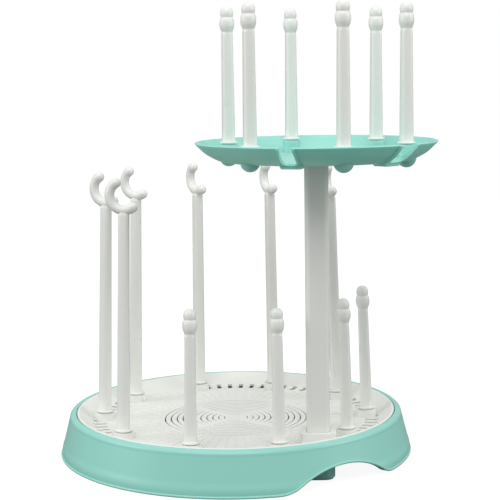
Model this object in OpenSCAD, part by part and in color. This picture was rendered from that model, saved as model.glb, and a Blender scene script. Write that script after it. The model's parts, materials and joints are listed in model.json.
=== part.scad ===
// Two-tier bottle drying rack.
// A round base carries a lift-out drainer with ten pegs. A square column stands
// in the base, passes through the drainer and holds a round bowl with six pegs.
// Origin: middle of the foot under the column, on the surface the rack stands on.
// +Z is up, -Y is the front.

/* [Base] */
// Diameter of the base where it meets the table
base_d = 301; // [280:1:320]
// Outer diameter of the base at its rim
rim_d = 285; // [270:1:290]
// Height of the rim's top above the table
rim_top = 36; // [34:0.5:37]
// Width of the rounded rim
rim_w = 5.8; // [5:0.1:6]
// Wall thickness of the base
base_wall = 2.4; // [2:0.1:2.8]
// Underside of the water pan above the table
pan_z = 16; // [14:0.5:17]
// Height of the finger arch at its middle
arch_h = 17.3; // [12:0.1:18]
// Width of the finger arch at the table, over its fillets
arch_w = 117; // [100:1:124]

/* [Drainer] */
// Top of the drainer floor above the table
floor_z = 26; // [25:0.5:27]
// Thickness of the drainer floor
floor_t = 2.2; // [1.6:0.1:2.4]
// Outer diameter of the drainer
drainer_d = 272.2; // [268:0.1:272.8]
// Diameter of the flat drainer floor
floor_d = 242; // [238:1:246]
// Number of ring slots in the floor
ring_count = 11; // [6:1:11]
// Radius of the smallest ring slot
ring_r0 = 10; // [8:0.5:12]
// Distance from one ring slot to the next
ring_pitch = 5.1; // [5:0.1:5.3]
// Width of a ring slot
ring_slot_w = 1.1; // [1:0.1:2]
// Number of radial drain slots around the edge
edge_slots = 72; // [36:1:72]

/* [Lower pegs] */
// Radius of the circle on which the lower pegs and the column stand
peg_circle_r = 113; // [110:0.5:115]
// Height of the lower pegs' seats above the table
seat_z = 32.1; // [31.5:0.1:33]
// Inward lean of the lower pegs, in degrees
lean = 1.8; // [0:0.1:2]
// Height of a hook peg's stem above its seat
hook_stem_h = 180; // [160:1:182]
// Height of a short peg's stem above its seat
short_stem_h = 88; // [80:0.5:92]
// Turn of each hook's opening seen from above, in degrees
hook_turns = [-80, -66, -55, -28, -27, -10];

/* [Column and bowl] */
// Width of the square column
column_w = 18.4; // [16:0.1:19]
// Top of the column above the table
column_top = 259; // [252:0.5:260]
// Diameter of the bowl's rim
bowl_d = 189; // [185:1:195]
// Height of the bowl's rim above the table
bowl_rim_z = 268.8; // [266:0.1:269]
// Underside of the bowl above the table
bowl_bottom_z = 253.7; // [252:0.1:254.4]
// Radius of the circle of pegs in the bowl
bowl_peg_r = 71; // [68:0.5:73]
// Height of the upper pegs' seats above the table
bowl_seat_z = 265.8; // [265:0.1:266.4]

/* [Hidden] */
$fn = 96;
mint = [0.68, 0.90, 0.84];
white = [0.93, 0.94, 0.92];
step_angle = 36;                 // the lower pegs stand every 36 degrees
column_angle = -54;              // the column stands halfway between two pegs
eps = 0.01;

// Base
base_r = base_d / 2;
rim_r = rim_d / 2;
rim_round = 4.4;                 // soft outer rounding of the rim
rim_edge = rim_w - rim_round;    // small rounding on the rim's inner side
rim_side_z = rim_top - rim_round;
bead_out = 0.6;                  // how far the edge bead stands proud
bead_r = 0.9;
bead_w = 1.5;                    // width of the bead that follows the arch
foot_r = base_r - bead_out;      // outside of the skirt at its foot
flare_w = 2.4;                   // how far the skirt flares out at its foot
flare_top = 10;
flare_bottom = 6;
arch_fillet_r = 30;
ledge_z = rim_top - 7;           // the drainer's edge rests on this ledge
pan_r = 129;
pan_floor_t = 2;

// Column socket in the base
socket_w = column_w + 7.8;
socket_corner = 8;
socket_step = 1.2;               // the socket's foot is set in by this much
socket_floor = 3;
socket_gap = 0.15;               // clearance around the column on each side
socket_top = floor_z - floor_t - 0.5;
column_corner = 4.5;
column_wall = 2;

// Peg details, measured up from the seat
spigot_r = 4;
spigot_len = 9.5;
spigot_tip = 0.8;                // chamfer on the spigot's end
bore_r = 4.05;
shoulder_r = 5.4;
shoulder_h = 0.7;
collar_r = 7.1;
collar_h = 1.7;
collar_top = shoulder_h + collar_h;
stem_w0 = 9.9;                   // stem width at the collar
stem_w1 = 8.4;                   // stem width at the top
stem_corner = 3.2;
low_ball_r = 5.9;
low_ball_up = 6.2;               // centre of the lower ball above the stem
flare_cone_r = 4.4;              // the tip flares from here into the lower ball
flare_cone_h = 4.5;
top_ball_r = 5.1;
top_ball_up = 14.5;
ball_neck_r = 4.7;
hook_r = 12;                     // hook centreline radius
hook_bar_r = 3.9;
hook_ball_r = 4.3;
hook_sink = 2.2;                 // how far the stem runs up into the hook's bar
hook_from = 126;                 // the hook's bar runs from here
hook_sweep = 180;                // round its closed side by this much

// Drainer
drainer_r = drainer_d / 2;
floor_r = floor_d / 2;
drainer_rim_w = 2;
edge_slot_in = 9.5;              // edge slots run from this far inside the floor's edge
edge_slot_out = 2;               // to this far outside it
edge_slot_w = 3.9;
edge_slot_turn = 3.05;           // turn of the first edge slot, in degrees
closed_from = 112;               // between these turns the edge has no slots
closed_to = 142;
boss_r = 8.6;
sleeve_r = 6.4;
sleeve_bottom = seat_z - spigot_len - 1;
column_block_w = 28;
column_block_corner = 4;
column_block_top = rim_top + 2;
block_gap = 0.6;                 // clearance between the block and the pan's wall
rib_r0 = 67;
rib_r1 = 110;
rib_w = 0.9;
rib_h = 0.35;

// Bowl
bowl_r = bowl_d / 2;
bowl_t = 2.2;
bowl_boss_r = 7.2;
bump_r = 7.6;
bump_z = bowl_bottom_z + 2.3;
bowl_turn = 13.5;                // turn of the bowl on its column
notch_turn = -120;               // turn of the first notch from the bowl's own turn
notch_top_w = [8.6, 17.5];       // width of each notch at the rim
notch_low_w = [11.6, 15];        // width of each notch near the floor
notch_waist_z = bowl_rim_z - 7.7;
notch_floor_z = bowl_bottom_z + 1.4;
notch_lip = 2;                   // raised border around a notch
notch_lip_out = 1.5;
notch_r0 = 72;                   // a notch is cut from this radius outwards
notch_cut_len = 32;
lug_r0 = 66;                     // each notch has a channel under the bowl, from here
lug_len = 12.5;
lug_drop = 1.7;
lug_top_w = 17;
lug_bottom_w = 14;
column_cap_w = column_w + 5;
column_cap_corner = 6;
column_cap_top = column_top + 2.2;

base_x = -peg_circle_r * cos(column_angle);
base_y = -peg_circle_r * sin(column_angle);

hook_angles = [36, 72, 108, 144, 180, 216];
short_angles = [252, 288, 324, 0];

// ---------- outlines ----------

module rounded_square(w, r) {
    square([w, w - 2 * r], center = true);
    square([w - 2 * r, w], center = true);
    for (x = [-1, 1], y = [-1, 1])
        translate([x * (w / 2 - r), y * (w / 2 - r)]) circle(r = r);
}

// Outer line of the skirt, straight and then flared at its foot, grown outwards by g.
function skirt_line(g = 0) = let (
    skirt_x = foot_r - flare_w + g,
    mid_x = foot_r - flare_w / 2 + g,
    mid_z = (flare_top + flare_bottom) / 2
) [
    [rim_r + g, rim_side_z], [skirt_x, flare_top], [mid_x - 0.5, mid_z + 0.5],
    [mid_x + 0.7, mid_z - 1], [foot_r + g, flare_bottom - 1], [foot_r + g, bead_r]
];

function reversed(points) = [for (i = [len(points) - 1 : -1 : 0]) points[i]];

// Skirt, rim, ledge and water pan, as a half section.
module base_section() {
    inner_x = rim_r - rim_w;
    inside_x = foot_r - flare_w - base_wall;
    polygon(concat(skirt_line(), [
        [base_r - bead_r, 0], [inside_x, 0], [inside_x, flare_top], [rim_r - base_wall, rim_side_z]
    ]));
    translate([base_r - bead_r, bead_r]) circle(r = bead_r, $fn = 32);
    intersection() {
        translate([rim_r - rim_round, rim_side_z]) circle(r = rim_round);
        translate([rim_r - rim_round, 0]) square([rim_round, rim_top]);
    }
    translate([inner_x + rim_edge, rim_top - rim_edge]) circle(r = rim_edge, $fn = 32);
    translate([inner_x, ledge_z - base_wall])
        square([base_wall, rim_top - rim_edge - ledge_z + base_wall]);
    translate([pan_r, ledge_z - base_wall]) square([inner_x - pan_r + 1, base_wall]);
    translate([pan_r, pan_z]) square([base_wall, ledge_z - pan_z]);
    translate([0, pan_z]) square([pan_r + 1, pan_floor_t]);
}

function arc_point(x, z, r, angle) = [x + r * cos(angle), z + r * sin(angle)];

// Finger arch: a wide arc whose feet run out on fillets, grown outwards by g.
module arch_outline(g = 0) {
    fillet_x = arch_w / 2;
    crown_r = (fillet_x * fillet_x + arch_h * arch_h) / (2 * arch_h) - arch_fillet_r;
    half = asin(fillet_x / (crown_r + arch_fillet_r));
    steps = 8;
    polygon(concat(
        [[-fillet_x, -1]],
        [for (i = [0 : steps])
            arc_point(-fillet_x, arch_fillet_r, arch_fillet_r - g, half * i / steps - 90)],
        [for (i = [1 : 3 * steps - 1])
            arc_point(0, arch_h - crown_r, crown_r + g, 90 + half - 2 * half * i / (3 * steps))],
        [for (i = [0 : steps])
            arc_point(fillet_x, arch_fillet_r, arch_fillet_r - g, half * (i / steps - 1) - 90)],
        [[fillet_x, -1]]
    ));
}

// Puts a radial cut or bead through the skirt, over the column.
module across_skirt() {
    on_base_axis() rotate([0, 0, column_angle]) translate([pan_r + base_wall + 2, 0, 0])
        rotate([90, 0, 90]) linear_extrude(height = 30) children();
}

// Dish-shaped drainer, as a half section.
module drainer_section() {
    polygon([
        [0, floor_z - floor_t], [floor_r + 0.5, floor_z - floor_t],
        [drainer_r - drainer_rim_w, rim_top - 2.6], [drainer_r - drainer_rim_w, ledge_z],
        [drainer_r, ledge_z], [drainer_r, rim_top - 0.6], [drainer_r - 0.6, rim_top],
        [drainer_r - drainer_rim_w, rim_top], [floor_r + 3, floor_z + 1.6],
        [floor_r, floor_z], [0, floor_z]
    ]);
}

// Outside of the bowl's wall, grown outwards by g.
module bowl_outside(g = 0) {
    polygon([
        [0, bowl_bottom_z - g], [bowl_r - 23.5, bowl_bottom_z - g],
        [bowl_r - 19 + g * 0.4, bowl_bottom_z + 0.9 - g * 0.8],
        [bowl_r - 13.5 + g * 0.6, bowl_bottom_z + 3.2 - g * 0.7],
        [bowl_r - 7.9 + g * 0.7, bowl_bottom_z + 6.6 - g * 0.6],
        [bowl_r + g * 0.7, bowl_rim_z - 0.8], [bowl_r + g * 0.7 - 0.4, bowl_rim_z],
        [0, bowl_rim_z]
    ]);
}

module bowl_inside() {
    polygon([
        [0, bowl_bottom_z + bowl_t], [bowl_r - 24.1, bowl_bottom_z + bowl_t],
        [bowl_r - 19.9, bowl_bottom_z + 2.9], [bowl_r - 14.9, bowl_bottom_z + 5.2],
        [bowl_r - 9.7, bowl_bottom_z + 8.4], [bowl_r - 2, bowl_rim_z - 0.4],
        [bowl_r - 1.4, bowl_rim_z + eps], [0, bowl_rim_z + eps]
    ]);
}

// A notch, seen along the radius: flared flanks over a rounded floor.
module notch_outline(index, grow = 0) {
    top = notch_top_w[index] / 2 + grow;
    low = notch_low_w[index] / 2 + grow;
    polygon([
        [-top, bowl_rim_z + 2], [-low, notch_waist_z], [-low, notch_floor_z + 3],
        [-low + 2, notch_floor_z + 0.6 - grow], [-low + 4, notch_floor_z - grow],
        [low - 4, notch_floor_z - grow], [low - 2, notch_floor_z + 0.6 - grow],
        [low, notch_floor_z + 3], [low, notch_waist_z], [top, bowl_rim_z + 2]
    ]);
}

// The channel under a notch, seen along the radius.
module lug_outline() {
    lug_top = bowl_bottom_z + bowl_t - 0.4;
    lug_shoulder = bowl_bottom_z + 0.3;
    lug_bottom = bowl_bottom_z - lug_drop;
    polygon([
        [-lug_top_w / 2, lug_top], [-lug_top_w / 2, lug_shoulder], [-lug_bottom_w / 2, lug_bottom],
        [lug_bottom_w / 2, lug_bottom], [lug_top_w / 2, lug_shoulder], [lug_top_w / 2, lug_top]
    ]);
}

// ---------- placing ----------

module on_base_axis(z = 0) {
    translate([base_x, base_y, z]) children();
}

// Puts children on the seat of the lower peg at this angle, +X pointing outwards.
module on_lower_seat(angle) {
    on_base_axis(seat_z)
        rotate([0, 0, angle]) translate([peg_circle_r, 0, 0]) rotate([0, -lean, 0]) children();
}

module on_bowl_seat(index) {
    rotate([0, 0, bowl_turn - 90 + 60 * index])
        translate([bowl_peg_r, 0, bowl_seat_z]) children();
}

// Puts a radial shape at notch number index, from radius r0 outwards.
module across_bowl_wall(index, r0, length) {
    rotate([0, 0, bowl_turn + notch_turn + 60 * index]) translate([r0, 0, 0])
        rotate([90, 0, 90]) linear_extrude(height = length) children();
}

// ---------- base ----------

module base_shell() {
    color(mint) difference() {
        union() {
            on_base_axis() rotate_extrude($fn = 240) base_section();
            intersection() {
                on_base_axis() rotate_extrude($fn = 240)
                    polygon(concat(skirt_line(bead_out), reversed(skirt_line(-1))));
                across_skirt() arch_outline(bead_w);
            }
            linear_extrude(height = socket_step)
                rounded_square(socket_w - 2 * socket_step, socket_corner - socket_step);
            translate([0, 0, socket_step - eps]) linear_extrude(height = socket_top - socket_step)
                rounded_square(socket_w, socket_corner);
        }
        across_skirt() arch_outline();
        translate([0, 0, socket_floor])
            linear_extrude(height = 40) rounded_square(column_w + 2 * socket_gap, column_corner);
    }
}

// ---------- drainer ----------

module ring_slots() {
    bridge_w = 7;
    translate([0, 0, floor_z - floor_t - 1]) linear_extrude(height = floor_t + 2)
        difference() {
            for (i = [0 : ring_count - 1]) difference() {
                circle(r = ring_r0 + i * ring_pitch + ring_slot_w / 2, $fn = 120);
                circle(r = ring_r0 + i * ring_pitch - ring_slot_w / 2, $fn = 120);
            }
            for (turn = [45, 135]) rotate(turn) square([160, bridge_w], center = true);
        }
}

module edge_drain_slots() {
    turns = [for (i = [0 : edge_slots - 1]) edge_slot_turn + i * 360 / edge_slots];
    for (turn = turns) if (turn < closed_from || turn > closed_to)
        rotate([0, 0, turn])
            translate([floor_r - edge_slot_in, -edge_slot_w / 2, floor_z - floor_t - 1])
                cube([edge_slot_in + edge_slot_out, edge_slot_w, 6]);
}

module floor_ribs() {
    for (i = [0 : edge_slots - 1])
        rotate([0, 0, i * 360 / edge_slots])
            translate([rib_r0, -rib_w / 2, floor_z - 0.5]) cube([rib_r1 - rib_r0, rib_w, rib_h + 0.5]);
}

module peg_socket() {
    boss_h = seat_z - floor_z;
    translate([0, 0, -boss_h - 0.4]) cylinder(r1 = boss_r + 0.6, r2 = boss_r, h = boss_h + 0.4);
    translate([0, 0, sleeve_bottom - seat_z]) cylinder(r = sleeve_r, h = floor_z - sleeve_bottom);
    // small stop rib on the side that faces the middle
    translate([-boss_r - 2.6, -1.2, -boss_h - 0.4]) cube([4, 2.4, boss_h - 1]);
}

// Sleeve that the column passes through; its low part keeps clear of the pan's wall.
module column_block() {
    low_top = ledge_z + 0.3;
    intersection() {
        translate([0, 0, floor_z - floor_t]) linear_extrude(height = low_top - floor_z + floor_t)
            rounded_square(column_block_w, column_block_corner);
        on_base_axis() cylinder(r = pan_r - block_gap, h = rim_top, $fn = 240);
    }
    translate([0, 0, low_top - eps]) linear_extrude(height = column_block_top - low_top)
        rounded_square(column_block_w, column_block_corner);
}

module drainer() {
    color(white) difference() {
        union() {
            on_base_axis() difference() {
                rotate_extrude($fn = 240) drainer_section();
                ring_slots();
                edge_drain_slots();
            }
            on_base_axis() floor_ribs();
            for (i = [0 : 9]) on_lower_seat(i * step_angle) peg_socket();
            column_block();
        }
        for (i = [0 : 9])
            on_lower_seat(i * step_angle) translate([0, 0, -14]) cylinder(r = bore_r, h = 20);
        translate([0, 0, floor_z - floor_t - 1])
            linear_extrude(height = 40) rounded_square(column_w + 4 * socket_gap, column_corner);
    }
}

// ---------- column ----------

module column() {
    color(white) translate([0, 0, socket_floor]) linear_extrude(height = column_top - socket_floor)
        difference() {
            rounded_square(column_w, column_corner);
            rounded_square(column_w - 2 * column_wall, column_corner - column_wall);
        }
}

// ---------- bowl ----------

module bowl() {
    color(mint) difference() {
        union() {
            rotate_extrude($fn = 200) difference() {
                bowl_outside();
                bowl_inside();
            }
            for (i = [0, 1]) {
                intersection() {
                    rotate_extrude($fn = 200) difference() {
                        bowl_outside(notch_lip_out);
                        bowl_inside();
                    }
                    across_bowl_wall(i, notch_r0, notch_cut_len) notch_outline(i, notch_lip);
                }
                across_bowl_wall(i, lug_r0, lug_len) lug_outline();
            }
            for (i = [0 : 5]) on_bowl_seat(i) translate([0, 0, bump_z - bowl_seat_z]) {
                cylinder(r = bowl_boss_r, h = bowl_seat_z - bump_z);
                sphere(r = bump_r, $fn = 64);
            }
            translate([0, 0, bowl_bottom_z])
                linear_extrude(height = column_cap_top - bowl_bottom_z)
                    rounded_square(column_cap_w, column_cap_corner);
        }
        for (i = [0, 1]) across_bowl_wall(i, notch_r0, notch_cut_len) notch_outline(i);
        for (i = [0 : 5])
            on_bowl_seat(i) translate([0, 0, -spigot_len - 0.5]) cylinder(r = bore_r, h = 20);
        translate([0, 0, bowl_bottom_z - 10]) linear_extrude(height = column_top - bowl_bottom_z + 10)
            rounded_square(column_w + 2 * socket_gap, column_corner);
    }
}

// ---------- pegs ----------

// Spigot, shoulder, collar and tapered stem, up from the seat.
module peg_stem(stem_h) {
    translate([0, 0, -spigot_len]) cylinder(r1 = spigot_r - spigot_tip, r2 = spigot_r, h = spigot_tip);
    translate([0, 0, spigot_tip - spigot_len]) cylinder(r = spigot_r, h = spigot_len - spigot_tip + eps);
    cylinder(r = shoulder_r, h = shoulder_h + eps);
    translate([0, 0, shoulder_h]) rotate_extrude() {
        square([collar_r - collar_h / 2, collar_h]);
        translate([collar_r - collar_h / 2, collar_h / 2]) circle(r = collar_h / 2, $fn = 32);
    }
    translate([0, 0, collar_top - eps])
        linear_extrude(height = stem_h - collar_top, scale = stem_w1 / stem_w0)
            rounded_square(stem_w0, stem_corner, $fn = 48);
}

module short_peg() {
    low_ball_z = short_stem_h + low_ball_up;
    top_ball_z = short_stem_h + top_ball_up;
    color(white) union() {
        peg_stem(short_stem_h + 0.5);
        translate([0, 0, short_stem_h])
            cylinder(r1 = flare_cone_r, r2 = low_ball_r - 0.3, h = flare_cone_h);
        translate([0, 0, low_ball_z]) sphere(r = low_ball_r, $fn = 64);
        translate([0, 0, low_ball_z]) cylinder(r = ball_neck_r, h = top_ball_z - low_ball_z);
        translate([0, 0, top_ball_z]) sphere(r = top_ball_r, $fn = 64);
    }
}

module hook_peg() {
    hook_z = hook_stem_h - hook_sink + hook_bar_r + hook_r;
    color(white) union() {
        peg_stem(hook_stem_h);
        translate([0, 0, hook_z]) rotate([90, 0, 0]) {
            rotate([0, 0, hook_from]) rotate_extrude(angle = hook_sweep)
                translate([hook_r, 0]) circle(r = hook_bar_r, $fn = 48);
            for (turn = [hook_from, hook_from + hook_sweep])
                rotate([0, 0, turn]) translate([hook_r, 0, 0]) sphere(r = hook_ball_r, $fn = 64);
        }
    }
}

// A hook peg in its seat, its opening turned to the given direction.
module placed_hook(i) {
    on_lower_seat(hook_angles[i]) rotate([0, 0, hook_turns[i] - hook_angles[i]]) hook_peg();
}

module placed_short(i) {
    on_lower_seat(short_angles[i]) rotate([0, 0, -short_angles[i]]) short_peg();
}

module placed_bowl_peg(i) {
    on_bowl_seat(i) rotate([0, 0, -60 * i]) short_peg();
}

base_shell();
drainer();
column();
bowl();
placed_hook(0);  // hook_peg_1
placed_hook(1);  // hook_peg_2
placed_hook(2);  // hook_peg_3
placed_hook(3);  // hook_peg_4
placed_hook(4);  // hook_peg_5
placed_hook(5);  // hook_peg_6
placed_short(0);  // short_peg_1
placed_short(1);  // short_peg_2
placed_short(2);  // short_peg_3
placed_short(3);  // short_peg_4
placed_bowl_peg(0);  // bowl_peg_1
placed_bowl_peg(1);  // bowl_peg_2
placed_bowl_peg(2);  // bowl_peg_3
placed_bowl_peg(3);  // bowl_peg_4
placed_bowl_peg(4);  // bowl_peg_5
placed_bowl_peg(5);  // bowl_peg_6
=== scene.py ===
"""Looks of a two-tier bottle drying rack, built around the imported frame.

A mint base with a white drainer and ten white pegs, a square white column and a mint bowl with six
more pegs. Shapes are worked out in millimetres, in the frame of the CAD model, and a mesh's points
become metres when the mesh is made.
"""

import json
import math

import bmesh
import bpy
from mathutils import Matrix, Vector


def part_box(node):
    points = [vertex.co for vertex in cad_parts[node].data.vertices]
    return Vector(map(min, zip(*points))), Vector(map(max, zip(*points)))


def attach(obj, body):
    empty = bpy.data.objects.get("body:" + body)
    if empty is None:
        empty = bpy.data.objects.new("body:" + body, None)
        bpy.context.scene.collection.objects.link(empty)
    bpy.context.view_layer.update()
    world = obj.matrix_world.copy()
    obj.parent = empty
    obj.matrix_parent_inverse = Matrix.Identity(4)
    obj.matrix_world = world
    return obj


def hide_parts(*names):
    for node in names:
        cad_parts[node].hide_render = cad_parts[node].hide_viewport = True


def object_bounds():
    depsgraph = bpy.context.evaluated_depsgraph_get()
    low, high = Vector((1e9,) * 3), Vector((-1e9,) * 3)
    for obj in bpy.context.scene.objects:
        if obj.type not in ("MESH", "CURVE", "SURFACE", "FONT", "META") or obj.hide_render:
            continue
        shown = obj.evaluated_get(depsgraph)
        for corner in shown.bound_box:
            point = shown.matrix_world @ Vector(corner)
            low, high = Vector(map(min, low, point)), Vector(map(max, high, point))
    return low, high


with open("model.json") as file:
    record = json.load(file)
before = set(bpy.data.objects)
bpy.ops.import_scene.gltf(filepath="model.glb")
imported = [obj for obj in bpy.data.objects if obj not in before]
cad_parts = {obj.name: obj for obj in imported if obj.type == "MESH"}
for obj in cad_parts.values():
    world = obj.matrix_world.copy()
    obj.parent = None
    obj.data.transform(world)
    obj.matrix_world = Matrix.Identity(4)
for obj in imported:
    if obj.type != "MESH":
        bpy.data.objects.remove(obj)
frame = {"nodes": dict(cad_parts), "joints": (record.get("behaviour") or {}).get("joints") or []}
cad_low, cad_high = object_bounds()
scene = bpy.context.scene
MM = 0.001


def node_box(name):
    """A CAD node's lowest and highest corner, in millimetres."""
    low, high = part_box(name)
    return low / MM, high / MM


# ---------- places and sizes ----------

# Places that the frame gives
base_low, base_high = node_box("base_shell")
BASE_AXIS = (base_low + base_high) / 2
BASE_R = (base_high.x - base_low.x) / 2
RIM_TOP = base_high.z
TURNS = [j for j in frame["joints"] if j["name"].startswith("hook_turn")]
FIRST_SEAT = Vector(TURNS[0]["pos_m"]) / MM
SEAT_Z = FIRST_SEAT.z
PEG_CIRCLE_R = (FIRST_SEAT - BASE_AXIS).to_2d().length
LEAN = math.acos(TURNS[0]["axis"][2])
COLUMN_TURN = math.atan2(-BASE_AXIS.y, -BASE_AXIS.x)

# Base
RIM_R = BASE_R - 8
RIM_W = 5.8
RIM_ROUND = 4.4
RIM_SIDE_Z = RIM_TOP - RIM_ROUND
WALL = 2.4
BEAD_R = 1.1
BEAD_OUT = 0.95
FOOT_R = BASE_R - BEAD_OUT
FLARE_R = BASE_R - 3
FLARE_TOP = 12
FLARE_BOTTOM = 0.5
ARCH_H = 17.3
ARCH_X = 58.5
ARCH_FILLET_R = 30
ARCH_CROWN_R = (ARCH_X**2 + ARCH_H**2) / (2 * ARCH_H) - ARCH_FILLET_R
ARCH_SIDE = math.radians(60)  # further round than this from the arch, the edge is level
LEDGE_Z = RIM_TOP - 7
LEDGE_ROUND_OUT = 0.5
LEDGE_ROUND_IN = 0.6
PAN_R = 129
PAN_Z = 16
PAN_T = 2
PAN_FILLET_R = 1.2
PAN_RING_R = [6, 60]  # rings of points across the pan's flat floor
SOCKET_HALF = 13.1
SOCKET_CORNER = 8
SOCKET_TOP = 23.3
SOCKET_FLOOR = 3
# the socket's outside: how far it is set in, and at what height
SOCKET_OUTLINE = [(1.4, 0), (1.2, 0.3), (1.2, 1.0), (0.5, 1.2), (0, 1.7),
                  (0, SOCKET_TOP - 0.6), (0.6, SOCKET_TOP)]

# Column, and the holes that it passes through
COLUMN_HOLE_HALF = 9.35
COLUMN_CORNER = 4.5
COLUMN_TOP = 259

# Bowl
BOWL_FLAT_R = 40
BOWL_RIM_Z = 268.8
BOWL_R = 94.5
BOWL_BOTTOM = 253.7
BOWL_TURN = math.radians(13.5)
CAP_HALF = 11.7
CAP_CORNER = 6
CAP_TOP = COLUMN_TOP + 2.2
# each notch: its turn, its width at the rim and its width near the floor
NOTCHES = [(math.radians(-120), 8.6, 11.6), (math.radians(-60), 17.5, 15)]
NOTCH_WAIST_Z = BOWL_RIM_Z - 7.7
NOTCH_FLOOR_Z = BOWL_BOTTOM + 1.4
NOTCH_BEND_R = 3
NOTCH_START_R = 71.5
NOTCH_LEN = 32
BORDER_W = 2
BORDER_GROW = 1.5
BORDER_TURN = 11  # half the turn, in degrees, that a notch's border spans
LUG_R0 = 66
LUG_LEN = 12.5
# half outline of the channel under a notch: (across, height above the bowl's underside)
LUG_OUTLINE = [(6.8, -1.7), (7.7, -1.2), (8.5, 0.2), (8.5, 1.7)]
BUMP_R = 7.6
BUMP_UP = 2.3
BOSS_R = 7.2
BOSS_ROUND = 0.8
BORE_R = 4.05
BORE_DEPTH = 10

# Pegs, measured up from the seat
SPIGOT_R = 4
SPIGOT_LEN = 9.5
SPIGOT_TIP = 0.8
SHOULDER_R = 5.4
SHOULDER_H = 0.7
COLLAR_R = 7.1
COLLAR_H = 1.7
STEM_HALF_0 = 4.95
STEM_HALF_1 = 4.2
STEM_CORNER = 3.2
STEM_FOOT_H = 0.5
SHORT_STEM_H = 88
SHORT_BLEND_H = 2.4
HOOK_STEM_H = 180
HOOK_BLEND_H = 2.5
HOOK_TOP_HALF = 3.9
HOOK_TOP_CORNER = 3.6
HOOK_R = 12
HOOK_BAR_R = 3.9
HOOK_BALL_R = 4.3
HOOK_SINK = 2.2  # how far the bar's lowest point is inside the stem's end
HOOK_FROM = 126
HOOK_SWEEP = 180
# Half outline of a short peg's tip: (radius, height above the stem)
TIP = [(4.3, 0), (5.0, 1.8), (5.7, 4), (5.9, 6.5), (5.7, 8.8), (5.2, 10.4), (4.7, 11.2),
       (4.85, 12.0), (5.1, 13.6), (5.0, 15.4), (4.5, 17.1), (3.5, 18.5), (2.0, 19.35), (0.4, 19.6)]

# Where the lower pegs stand on their circle, and which way the hooks face, in degrees
HOOK_ANGLES = [36, 72, 108, 144, 180, 216]
HOOK_TURNS = [-80, -66, -55, -28, -27, -10]
SHORT_ANGLES = [252, 288, 324, 0]

# The pegs in the bowl stand where their CAD nodes stand
BOWL_BOXES = [node_box(f"bowl_peg_{k}") for k in range(1, 7)]
BOWL_PEGS = [((low.x + high.x) / 2, (low.y + high.y) / 2) for low, high in BOWL_BOXES]
BOWL_SEAT_Z = BOWL_BOXES[0][0].z + SPIGOT_LEN

# ---------- materials ----------

MINT = (0.295, 0.655, 0.575)
WHITE = (0.80, 0.81, 0.77)
TONE_DARK, TONE_PALE = 0.965, 1.03
TONE_SCALE, GLOSS_SCALE, GRAIN_SCALE = 14, 160, 1600  # noise scales, for metres
GLOSS_RANGE = 0.07
GRAIN_DEPTH = 0.0002
PLASTIC_IOR = 1.49
SOFT_REACH = (0.6, 1.0, 0.9)  # how far red, green and blue go in, against soft_mm


def plastic(name, colour, roughness, grain, soft=0.0, soft_mm=2.0):
    """Moulded plastic: a fine grain, slow changes of tone, and gloss that varies a little.

    Thin plastic lets light through as well: soft says how much, and soft_mm how deep.
    """
    material = bpy.data.materials.new(name)
    material.use_nodes = True
    nodes, links = material.node_tree.nodes, material.node_tree.links
    shader = nodes["Principled BSDF"]
    place = nodes.new("ShaderNodeTexCoord")

    def noise(scale, detail):
        node = nodes.new("ShaderNodeTexNoise")
        node.inputs["Scale"].default_value = scale
        node.inputs["Detail"].default_value = detail
        links.new(place.outputs["Object"], node.inputs["Vector"])
        return node.outputs["Fac"]

    tone = nodes.new("ShaderNodeMix")
    tone.data_type = "RGBA"
    tone.inputs["A"].default_value = (*[c * TONE_DARK for c in colour], 1)
    tone.inputs["B"].default_value = (*[c * TONE_PALE for c in colour], 1)
    links.new(noise(TONE_SCALE, 3), tone.inputs["Factor"])
    links.new(tone.outputs["Result"], shader.inputs["Base Color"])

    gloss = nodes.new("ShaderNodeMapRange")
    gloss.inputs["To Min"].default_value = roughness - GLOSS_RANGE
    gloss.inputs["To Max"].default_value = roughness + GLOSS_RANGE
    links.new(noise(GLOSS_SCALE, 4), gloss.inputs["Value"])
    links.new(gloss.outputs["Result"], shader.inputs["Roughness"])

    bump = nodes.new("ShaderNodeBump")
    bump.inputs["Strength"].default_value = grain
    bump.inputs["Distance"].default_value = GRAIN_DEPTH
    links.new(noise(GRAIN_SCALE, 2), bump.inputs["Height"])
    links.new(bump.outputs["Normal"], shader.inputs["Normal"])

    shader.inputs["IOR"].default_value = PLASTIC_IOR
    shader.inputs["Subsurface Weight"].default_value = soft
    shader.inputs["Subsurface Radius"].default_value = SOFT_REACH
    shader.inputs["Subsurface Scale"].default_value = soft_mm * MM
    return material


mint_plastic = plastic("mint_plastic", MINT, roughness=0.33, grain=0.2)
thin_mint = plastic("thin_mint_plastic", MINT, roughness=0.40, grain=0.2, soft=0.5, soft_mm=5.0)
matte_white = plastic("matte_white_plastic", WHITE, roughness=0.46, grain=0.2)
gloss_white = plastic("gloss_white_plastic", WHITE, roughness=0.30, grain=0.1)

# ---------- mesh tools ----------

CREASE = math.radians(32)


def lerp(a, b, t):
    return a + (b - a) * t


def smoothstep(t):
    t = min(1, max(0, t))
    return t * t * (3 - 2 * t)


def arc(x, z, r, start, end, steps):
    """Points on an arc in the XZ plane, from one angle in degrees to another."""
    turns = [math.radians(lerp(start, end, i / steps)) for i in range(steps + 1)]
    return [(x + r * math.cos(a), z + r * math.sin(a)) for a in turns]


def smooth_line(points, steps=4):
    """A Catmull-Rom curve through the points."""
    ends = [points[0]] + list(points) + [points[-1]]
    line = []
    for p0, p1, p2, p3 in zip(ends, ends[1:], ends[2:], ends[3:]):
        for k in range(steps):
            t = k / steps
            line.append(tuple(
                0.5 * (2 * b + (c - a) * t + (2 * a - 5 * b + 4 * c - d) * t**2
                       + (3 * b - a - 3 * c + d) * t**3)
                for a, b, c, d in zip(p0, p1, p2, p3)))
    return line + [tuple(points[-1])]


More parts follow.
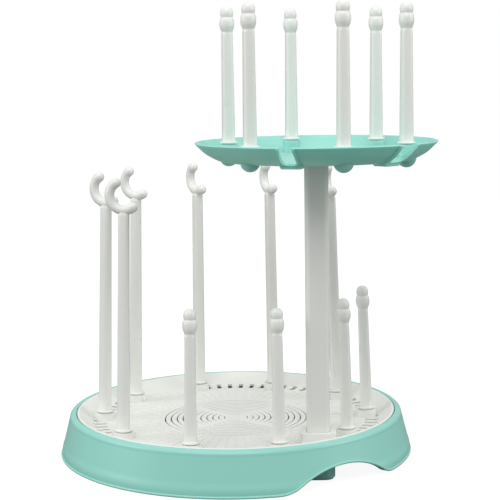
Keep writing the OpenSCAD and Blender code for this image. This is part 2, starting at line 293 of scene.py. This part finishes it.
def square_ring(half, corner, z):
    """A square of that half width with rounded corners, as a closed ring at height z."""
    steps = 6  # points on each corner
    reach = (half - corner) * math.sqrt(2)
    ring = []
    for k in range(4 * steps):
        quarter = math.radians(90) * (k // steps)
        a = quarter + math.radians(90) * (k % steps) / (steps - 1)
        side = quarter + math.radians(45)
        ring.append(Vector((reach * math.cos(side) + corner * math.cos(a),
                            reach * math.sin(side) + corner * math.sin(a), z)))
    return ring


def round_ring(r, z, count, centre):
    """A circle of that many points round a centre, as a closed ring at height z."""
    turns = [math.tau * k / count for k in range(count)]
    return [Vector((centre[0] + r * math.cos(a), centre[1] + r * math.sin(a), z)) for a in turns]


def skin(target, rings):
    """Adds the closed skin over a row of rings to a bmesh, with a flat face on each end."""
    rows = [[target.verts.new(p * MM) for p in ring] for ring in rings]
    for low, high in zip(rows, rows[1:]):
        count = len(low)
        for k in range(count):
            target.faces.new((low[k], low[(k + 1) % count], high[(k + 1) % count], high[k]))
    target.faces.new(list(reversed(rows[0])))
    target.faces.new(rows[-1])


def solid(name, shells, place=None):
    """One object made of closed skins, each a row of rings."""
    work = bmesh.new()
    for rings in shells:
        skin(work, rings)
    bmesh.ops.recalc_face_normals(work, faces=work.faces)
    mesh = bpy.data.meshes.new(name)
    work.to_mesh(mesh)
    work.free()
    if place is not None:
        mesh.transform(place)
    made = bpy.data.objects.new(name, mesh)
    scene.collection.objects.link(made)
    return made


def combine(target, operation, tool):
    """Joins or cuts two closed solids, and keeps the result in target."""
    step = target.modifiers.new("combine", "BOOLEAN")
    step.operation = operation
    step.solver = "EXACT"
    step.object = tool
    graph = bpy.context.evaluated_depsgraph_get()
    result = bpy.data.meshes.new_from_object(target.evaluated_get(graph))
    target.modifiers.clear()
    target.data = result
    bpy.data.objects.remove(tool)
    return target


def finish(piece, material):
    """Smooth shading that breaks at creases, and the piece's material."""
    mesh = piece.data
    for face in mesh.polygons:
        face.use_smooth = True
    mesh.set_sharp_from_angle(angle=CREASE)
    mesh.materials.clear()
    mesh.materials.append(material)


def prism(outline, turn, start, length):
    """A closed radial bar: an outline of (across, z) points, run outwards at that turn."""
    out = Vector((math.cos(turn), math.sin(turn), 0))
    across = Vector((-math.sin(turn), math.cos(turn), 0))
    up = Vector((0, 0, 1))
    return [[out * r + across * x + up * z for x, z in outline] for r in (start, start + length)]


# ---------- base ----------


def arch_height(across):
    """Height of the base's lower edge at that distance from the arch's middle."""
    across = abs(across)
    touch = ARCH_X * ARCH_CROWN_R / (ARCH_CROWN_R + ARCH_FILLET_R)
    if across >= ARCH_X:
        return 0
    if across > touch:
        return ARCH_FILLET_R - math.sqrt(ARCH_FILLET_R**2 - (ARCH_X - across) ** 2)
    return ARCH_H - ARCH_CROWN_R + math.sqrt(ARCH_CROWN_R**2 - across**2)


def skirt_r(z):
    """Radius of the skirt's outside at height z: straight, then flared at its foot."""
    straight = lerp(RIM_R, FLARE_R, (RIM_SIDE_Z - z) / (RIM_SIDE_Z - FLARE_TOP))
    return lerp(straight, FOOT_R, smoothstep((FLARE_TOP - z) / (FLARE_TOP - FLARE_BOTTOM)))


def base_column(turn):
    """The base's half section at one turn, from the pan's top round to the pan's underside."""
    edge = 0
    from_arch = (turn - COLUMN_TURN + math.pi) % math.tau - math.pi
    if abs(from_arch) < ARCH_SIDE:
        edge = arch_height(FOOT_R * math.sin(from_arch))
    inner_x = RIM_R - RIM_W
    rim_edge = RIM_W - RIM_ROUND
    pan_top = PAN_Z + PAN_T
    # pan, ledge and rim
    line = [(r, pan_top) for r in PAN_RING_R]
    line += arc(PAN_R - PAN_FILLET_R, pan_top + PAN_FILLET_R, PAN_FILLET_R, -90, 0, 4)
    line += arc(PAN_R + LEDGE_ROUND_OUT, LEDGE_Z - LEDGE_ROUND_OUT, LEDGE_ROUND_OUT, 180, 90, 3)
    line += arc(inner_x - LEDGE_ROUND_IN, LEDGE_Z + LEDGE_ROUND_IN, LEDGE_ROUND_IN, -90, 0, 3)
    line += arc(inner_x + rim_edge, RIM_TOP - rim_edge, rim_edge, 180, 90, 6)
    line += arc(RIM_R - RIM_ROUND, RIM_SIDE_Z, RIM_ROUND, 90, 0, 12)[1:]
    # skirt's outside and the bead along its edge
    rows = 24
    for k in range(1, rows + 1):
        z = lerp(RIM_SIDE_Z, edge + 2 * BEAD_R, k / rows)
        line.append((skirt_r(z), z))
    bead_x = skirt_r(edge + BEAD_R) + BEAD_OUT - BEAD_R
    line += arc(bead_x, edge + BEAD_R, BEAD_R, 70, -90, 8)
    # skirt's inside and the underside of the ledge and the pan
    top = LEDGE_Z - WALL
    rows = 8
    for k in range(rows + 1):
        z = lerp(edge, top, k / rows)
        line.append((skirt_r(max(z, FLARE_TOP)) - WALL, z))
    line += [(PAN_R + WALL, top), (PAN_R + WALL, PAN_Z)]
    return line + [(r, PAN_Z) for r in reversed(PAN_RING_R)]


def column_hole(bottom, top):
    """The square hole for the column, between two heights."""
    return [square_ring(COLUMN_HOLE_HALF, COLUMN_CORNER, z) for z in (bottom, top)]


def make_base():
    # the turns are closer together over the arch
    fine, coarse, span = math.radians(0.5), math.radians(1.5), math.radians(27)
    turns = [COLUMN_TURN - span + fine * k for k in range(round(2 * span / fine))]
    rest = math.tau - 2 * span
    turns += [COLUMN_TURN + span + coarse * k for k in range(round(rest / coarse))]
    columns = [base_column(a) for a in turns]
    rings = []
    for row in zip(*columns):
        rings.append([Vector((BASE_AXIS.x + r * math.cos(a), BASE_AXIS.y + r * math.sin(a), z))
                      for a, (r, z) in zip(turns, row)])
    shell = solid("base_shell_moulded", [rings])
    socket = [square_ring(SOCKET_HALF - inset, SOCKET_CORNER - inset, z)
              for inset, z in SOCKET_OUTLINE]
    combine(shell, "UNION", solid("socket", [socket]))
    hole = column_hole(SOCKET_FLOOR, SOCKET_TOP + 20)
    combine(shell, "DIFFERENCE", solid("socket_hole", [hole]))
    finish(shell, mint_plastic)
    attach(shell, "base")
    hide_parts("base_shell")


# ---------- bowl ----------


def spin(section, turns):
    """Rings round the Z axis, one for each (radius, z) point of the section."""
    return [[Vector((r * math.cos(a), r * math.sin(a), z)) for a in turns] for r, z in section]


def bowl_section(grow=0):
    """The bowl's section, from its floor's top out over the rim to its underside.

    The outside can be grown, for the raised border round a notch.
    """
    b, r = BOWL_BOTTOM, BOWL_R
    inside = [(BOWL_FLAT_R, b + 2.2), (r - 26, b + 2.2), (r - 19.9, b + 2.9), (r - 14.9, b + 5.2),
              (r - 9.7, b + 8.4), (r - 5.4, b + 11.8), (r - 2.0, b + 14.8)]
    rim = [(r - 1.5, BOWL_RIM_Z - 0.1), (r - 1.0, BOWL_RIM_Z), (r - 0.35, BOWL_RIM_Z - 0.25),
           (r, BOWL_RIM_Z - 0.9)]
    outside = [(r - 0.5, BOWL_RIM_Z - 1.5), (r - 3.9, b + 10.3), (r - 7.9, b + 6.6),
               (r - 13.5, b + 3.2), (r - 19, b + 0.8), (r - 26, b), (BOWL_FLAT_R, b)]
    grown = [(x + 0.7 * grow, z - 0.7 * grow if x > r - 27 else z) for x, z in outside]
    rim = [(x + 0.7 * grow * k / 3, z) for k, (x, z) in enumerate(rim)]
    return smooth_line(inside) + rim + smooth_line(grown)


def notch_outline(top_w, low_w, grow=0):
    """A notch seen along the radius: flared flanks over a rounded floor."""
    top, low, floor = top_w / 2 + grow, low_w / 2 + grow, NOTCH_FLOOR_Z - grow
    right = arc(low - NOTCH_BEND_R, floor + NOTCH_BEND_R, NOTCH_BEND_R, -90, 0, 6)
    right += smooth_line([(low, NOTCH_WAIST_Z - 1.5), (lerp(low, top, 0.1), NOTCH_WAIST_Z + 0.5),
                          (lerp(low, top, 0.8), BOWL_RIM_Z), (top, BOWL_RIM_Z + 2)], 3)
    return [(-x, z) for x, z in reversed(right)] + right


def boss_rings(centre):
    """A peg's boss in the bowl: a dome below, a post above with a rounded top."""
    dome_z = BOWL_BOTTOM + BUMP_UP
    profile = arc(0, dome_z, BUMP_R, -86, 0, 12)
    profile.append((BOSS_R, dome_z + 1.0))
    profile += arc(BOSS_R - BOSS_ROUND, BOWL_SEAT_Z - BOSS_ROUND, BOSS_ROUND, 0, 90, 4)
    return [round_ring(r, z, 40, centre) for r, z in profile]


def add_notch_border(bowl, at, top_w, low_w):
    """Adds the channel under a notch and the raised border round it."""
    half = [(x, BOWL_BOTTOM + z) for x, z in LUG_OUTLINE]
    lug = [(-x, z) for x, z in reversed(half)] + half
    combine(bowl, "UNION", solid("lug", [prism(lug, at, LUG_R0, LUG_LEN)]))
    steps = 24
    turns = [at + math.radians(lerp(-BORDER_TURN, BORDER_TURN, k / steps))
             for k in range(steps + 1)]
    thick = list(zip(*spin(bowl_section(BORDER_GROW), turns)))
    outline = notch_outline(top_w, low_w, BORDER_W)
    around = solid("border_cut", [prism(outline, at, NOTCH_START_R - 0.5, NOTCH_LEN + 1)])
    combine(bowl, "UNION", combine(solid("border", [thick]), "INTERSECT", around))


def make_bowl():
    steps = 288
    turns = [math.tau * k / steps for k in range(steps)]
    bowl = solid("bowl_moulded", [spin(bowl_section(), turns)])
    parts = [boss_rings(c) for c in BOWL_PEGS]
    # the cap over the column's end, set in towards its rounded top
    cap = [(0, BOWL_BOTTOM + 0.3), (0, CAP_TOP - 1.2), (0.35, CAP_TOP - 0.35), (1.2, CAP_TOP)]
    parts.append([square_ring(CAP_HALF - inset, CAP_CORNER - inset, z) for inset, z in cap])
    combine(bowl, "UNION", solid("bowl_posts", parts))
    cuts = []
    for turn, top_w, low_w in NOTCHES:
        at = BOWL_TURN + turn
        add_notch_border(bowl, at, top_w, low_w)
        cuts.append(prism(notch_outline(top_w, low_w), at, NOTCH_START_R, NOTCH_LEN))
    cuts += [[round_ring(BORE_R, z, 32, c) for z in (BOWL_SEAT_Z - BORE_DEPTH, BOWL_SEAT_Z + 6)]
             for c in BOWL_PEGS]
    cuts.append(column_hole(BOWL_BOTTOM - 10, COLUMN_TOP))
    combine(bowl, "DIFFERENCE", solid("bowl_cuts", cuts))
    finish(bowl, thin_mint)
    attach(bowl, "bowl")
    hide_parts("bowl")


# ---------- pegs ----------


def stem_rings(stem_h, end_half, end_corner, blend_h):
    """Spigot, shoulder, collar and tapered stem; the stem's top turns into a rounder section."""
    edge = COLLAR_H / 2
    outline = [(SPIGOT_R - SPIGOT_TIP, -SPIGOT_LEN), (SPIGOT_R, SPIGOT_TIP - SPIGOT_LEN),
               (SPIGOT_R, 0), (SHOULDER_R, 0), (SHOULDER_R, SHOULDER_H)]
    outline += arc(COLLAR_R - edge, SHOULDER_H + edge, edge, -90, 90, 8)
    rings = [square_ring(r, r, z) for r, z in outline]
    # a small fillet where the stem stands on the collar
    foot = SHOULDER_H + COLLAR_H
    for up, out in ((0.02, 0.35), (0.15, 0.15), (STEM_FOOT_H, 0)):
        rings.append(square_ring(STEM_HALF_0 + out, STEM_CORNER + out, foot + up))
    # the taper
    rows = 14
    blend_from = stem_h - blend_h
    for k in range(1, rows + 1):
        z = lerp(foot + STEM_FOOT_H, blend_from, k / rows)
        t = (z - foot) / (stem_h - foot)
        half = lerp(STEM_HALF_0, STEM_HALF_1, t)
        corner = STEM_CORNER * lerp(1, STEM_HALF_1 / STEM_HALF_0, t)
        rings.append(square_ring(half, corner, z))
    # from the taper's last section to the end's section
    rows = 5
    for k in range(1, rows + 1):
        s = smoothstep(k / rows)
        rings.append(square_ring(lerp(half, end_half, s), lerp(corner, end_corner, s),
                                 blend_from + blend_h * k / rows))
    return rings


def make_short_peg(name, place):
    tip_r = TIP[0][0]
    rings = stem_rings(SHORT_STEM_H, tip_r, tip_r, SHORT_BLEND_H)
    rings += [square_ring(r, r, SHORT_STEM_H + z) for r, z in smooth_line(TIP, 3)[1:]]
    finish_peg(solid(name + "_moulded", [rings], place), name, name)


def hook_rings():
    """The hook's bar, swept round its closed side, with a ball on each end."""
    centre = Vector((0, 0, HOOK_STEM_H - HOOK_SINK + HOOK_BAR_R + HOOK_R))
    ends = [math.radians(HOOK_FROM), math.radians(HOOK_FROM + HOOK_SWEEP)]
    swept = HOOK_R * (ends[1] - ends[0])
    # places along the bar: round the first ball, past it, along the bar, and the same at the end
    reach = HOOK_BALL_R * 0.995
    start = [-reach * math.cos(math.radians(a)) for a in range(0, 90, 12)]
    start += [0, 0.8, 1.6, 2.6, 4.0]
    stops, margin = 34, 5.0
    along_bar = [lerp(margin, swept - margin, k / stops) for k in range(stops + 1)]
    marks = start + along_bar + [swept - m for m in reversed(start)]
    blend = 1.3 * HOOK_BALL_R  # how far from a ball's middle its swelling ends
    side = Vector((0, 1, 0))
    points = [math.tau * k / 24 for k in range(24)]
    rings = []
    for s in marks:
        along = min(swept, max(0, s))
        past = s - along
        a = ends[0] + along / HOOK_R
        out = Vector((math.cos(a), 0, math.sin(a)))
        ahead = Vector((-math.sin(a), 0, math.cos(a)))
        from_ball = min(abs(s), abs(swept - s))
        if past:
            r = math.sqrt(max(0, HOOK_BALL_R**2 - from_ball**2))
        else:
            r = lerp(HOOK_BALL_R, HOOK_BAR_R, smoothstep(from_ball / blend))
        middle = centre + out * HOOK_R + ahead * past
        rings.append([middle + (out * math.cos(b) + side * math.sin(b)) * r for b in points])
    return rings


def make_hook_peg(name, place):
    stem = stem_rings(HOOK_STEM_H, HOOK_TOP_HALF, HOOK_TOP_CORNER, HOOK_BLEND_H)
    peg = solid(name + "_moulded", [stem])
    combine(peg, "UNION", solid("hook_bar", [hook_rings()]))
    peg.data.transform(place)
    finish_peg(peg, name, name)


def finish_peg(peg, name, body):
    """A peg's material, the body that it rides on and the CAD node that it stands for."""
    finish(peg, gloss_white)
    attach(peg, body)
    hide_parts(name)


def seat_place(angle, turn):
    """Puts a peg, modelled on the Z axis in metres, in a lower seat, turned as seen from above."""
    a = math.radians(angle)
    seat = Vector((BASE_AXIS.x + PEG_CIRCLE_R * math.cos(a),
                   BASE_AXIS.y + PEG_CIRCLE_R * math.sin(a), SEAT_Z))
    lean = Matrix.Rotation(a, 4, "Z") @ Matrix.Rotation(-LEAN, 4, "Y")
    return Matrix.Translation(seat * MM) @ lean @ Matrix.Rotation(math.radians(turn) - a, 4, "Z")


def make_pegs():
    for k, (angle, turn) in enumerate(zip(HOOK_ANGLES, HOOK_TURNS), 1):
        make_hook_peg(f"hook_peg_{k}", seat_place(angle, turn))
    for k, angle in enumerate(SHORT_ANGLES, 1):
        make_short_peg(f"short_peg_{k}", seat_place(angle, 0))
    turned = Matrix.Rotation(BOWL_TURN, 4, "Z")
    for k, (x, y) in enumerate(BOWL_PEGS, 1):
        seat = Vector((x, y, BOWL_SEAT_Z))
        make_short_peg(f"bowl_peg_{k}", Matrix.Translation(seat * MM) @ turned)


make_base()
make_bowl()
make_pegs()

# ---------- nodes carried over from the CAD ----------

for node_name in ("drainer", "column"):
    finish(frame["nodes"][node_name], matte_white)

# ---------- studio ----------

CAMERA_AT = Vector((-0.0555, -1.0779, 0.3247))
CAMERA_LENS = 99.64
CAMERA_PITCH = math.radians(-7.45)
CAMERA_YAW = math.radians(-0.162)
CAMERA_ROLL = math.radians(-0.808)
FLOOR_HALF = 30
FLOOR_DROP = 0.0002
FLOOR_GLOW = 0.93
FLOOR_LIT = (0.16, 0.16, 0.16, 1)
FLOOR_BOUNCE = (0.24, 0.24, 0.24, 1)
WORLD_LIGHT = 0.46
WORLD_SEEN = 1.0


def make_camera():
    data = bpy.data.cameras.new("camera")
    data.sensor_width = 36
    data.lens = CAMERA_LENS
    camera = bpy.data.objects.new("camera", data)
    scene.collection.objects.link(camera)
    yaw = Matrix.Rotation(CAMERA_YAW, 4, "Z")
    pitch = Matrix.Rotation(math.radians(90) + CAMERA_PITCH, 4, "X")
    roll = Matrix.Rotation(CAMERA_ROLL, 4, "Z")
    camera.matrix_world = Matrix.Translation(CAMERA_AT) @ (yaw @ pitch) @ roll
    scene.camera = camera


def make_floor():
    """Pale paper: white where the camera sees it, with a soft contact shadow, and little bounce."""
    h = FLOOR_HALF
    mesh = bpy.data.meshes.new("floor")
    mesh.from_pydata([(-h, -h, 0), (h, -h, 0), (h, h, 0), (-h, h, 0)], [], [(0, 1, 2, 3)])
    floor = bpy.data.objects.new("floor", mesh)
    floor.location.z = cad_low.z - FLOOR_DROP
    scene.collection.objects.link(floor)
    material = bpy.data.materials.new("floor_paper")
    material.use_nodes = True
    nodes, links = material.node_tree.nodes, material.node_tree.links
    nodes.remove(nodes["Principled BSDF"])
    lit = nodes.new("ShaderNodeBsdfDiffuse")
    lit.inputs["Color"].default_value = FLOOR_LIT
    glow = nodes.new("ShaderNodeEmission")
    glow.inputs["Strength"].default_value = FLOOR_GLOW
    seen = nodes.new("ShaderNodeAddShader")
    links.new(lit.outputs[0], seen.inputs[0])
    links.new(glow.outputs[0], seen.inputs[1])
    bounced = nodes.new("ShaderNodeBsdfDiffuse")
    bounced.inputs["Color"].default_value = FLOOR_BOUNCE
    mix = nodes.new("ShaderNodeMixShader")
    path = nodes.new("ShaderNodeLightPath")
    links.new(path.outputs["Is Camera Ray"], mix.inputs[0])
    links.new(bounced.outputs[0], mix.inputs[1])
    links.new(seen.outputs[0], mix.inputs[2])
    links.new(mix.outputs[0], nodes["Material Output"].inputs["Surface"])
    mesh.materials.append(material)


def make_world():
    """White all round: weaker as light than as what the camera sees."""
    world = bpy.data.worlds.new("studio")
    world.use_nodes = True
    nodes, links = world.node_tree.nodes, world.node_tree.links
    background = nodes["Background"]
    background.inputs["Color"].default_value = (1, 1, 1, 1)
    path = nodes.new("ShaderNodeLightPath")
    strength = nodes.new("ShaderNodeMapRange")
    strength.inputs["To Min"].default_value = WORLD_LIGHT
    strength.inputs["To Max"].default_value = WORLD_SEEN
    links.new(path.outputs["Is Camera Ray"], strength.inputs["Value"])
    links.new(strength.outputs["Result"], background.inputs["Strength"])
    scene.world = world


def softbox(name, at, towards, size, watts):
    """A rectangular lamp at one place that faces another."""
    data = bpy.data.lights.new(name, "AREA")
    data.shape = "RECTANGLE"
    data.size, data.size_y = size
    data.energy = watts
    light = bpy.data.objects.new(name, data)
    light.location = at
    light.rotation_mode = "QUATERNION"
    light.rotation_quaternion = (Vector(towards) - Vector(at)).to_track_quat("-Z", "Y")
    scene.collection.objects.link(light)


make_camera()
make_floor()
make_world()
middle = (cad_low + cad_high) / 2
softbox("top_light", (middle.x + 0.3, middle.y + 0.2, 1.7), middle, size=(1.6, 1.6), watts=8)
softbox("front_light", (middle.x - 0.25, middle.y - 1.5, 1.75), middle, size=(2.0, 1.2), watts=24)
for name, aside in (("left_light", -1.5), ("right_light", 1.5)):
    softbox(name, (middle.x + aside, middle.y - 0.3, 0.75), middle, size=(0.9, 0.9), watts=8)
scene.view_settings.view_transform = "Standard"
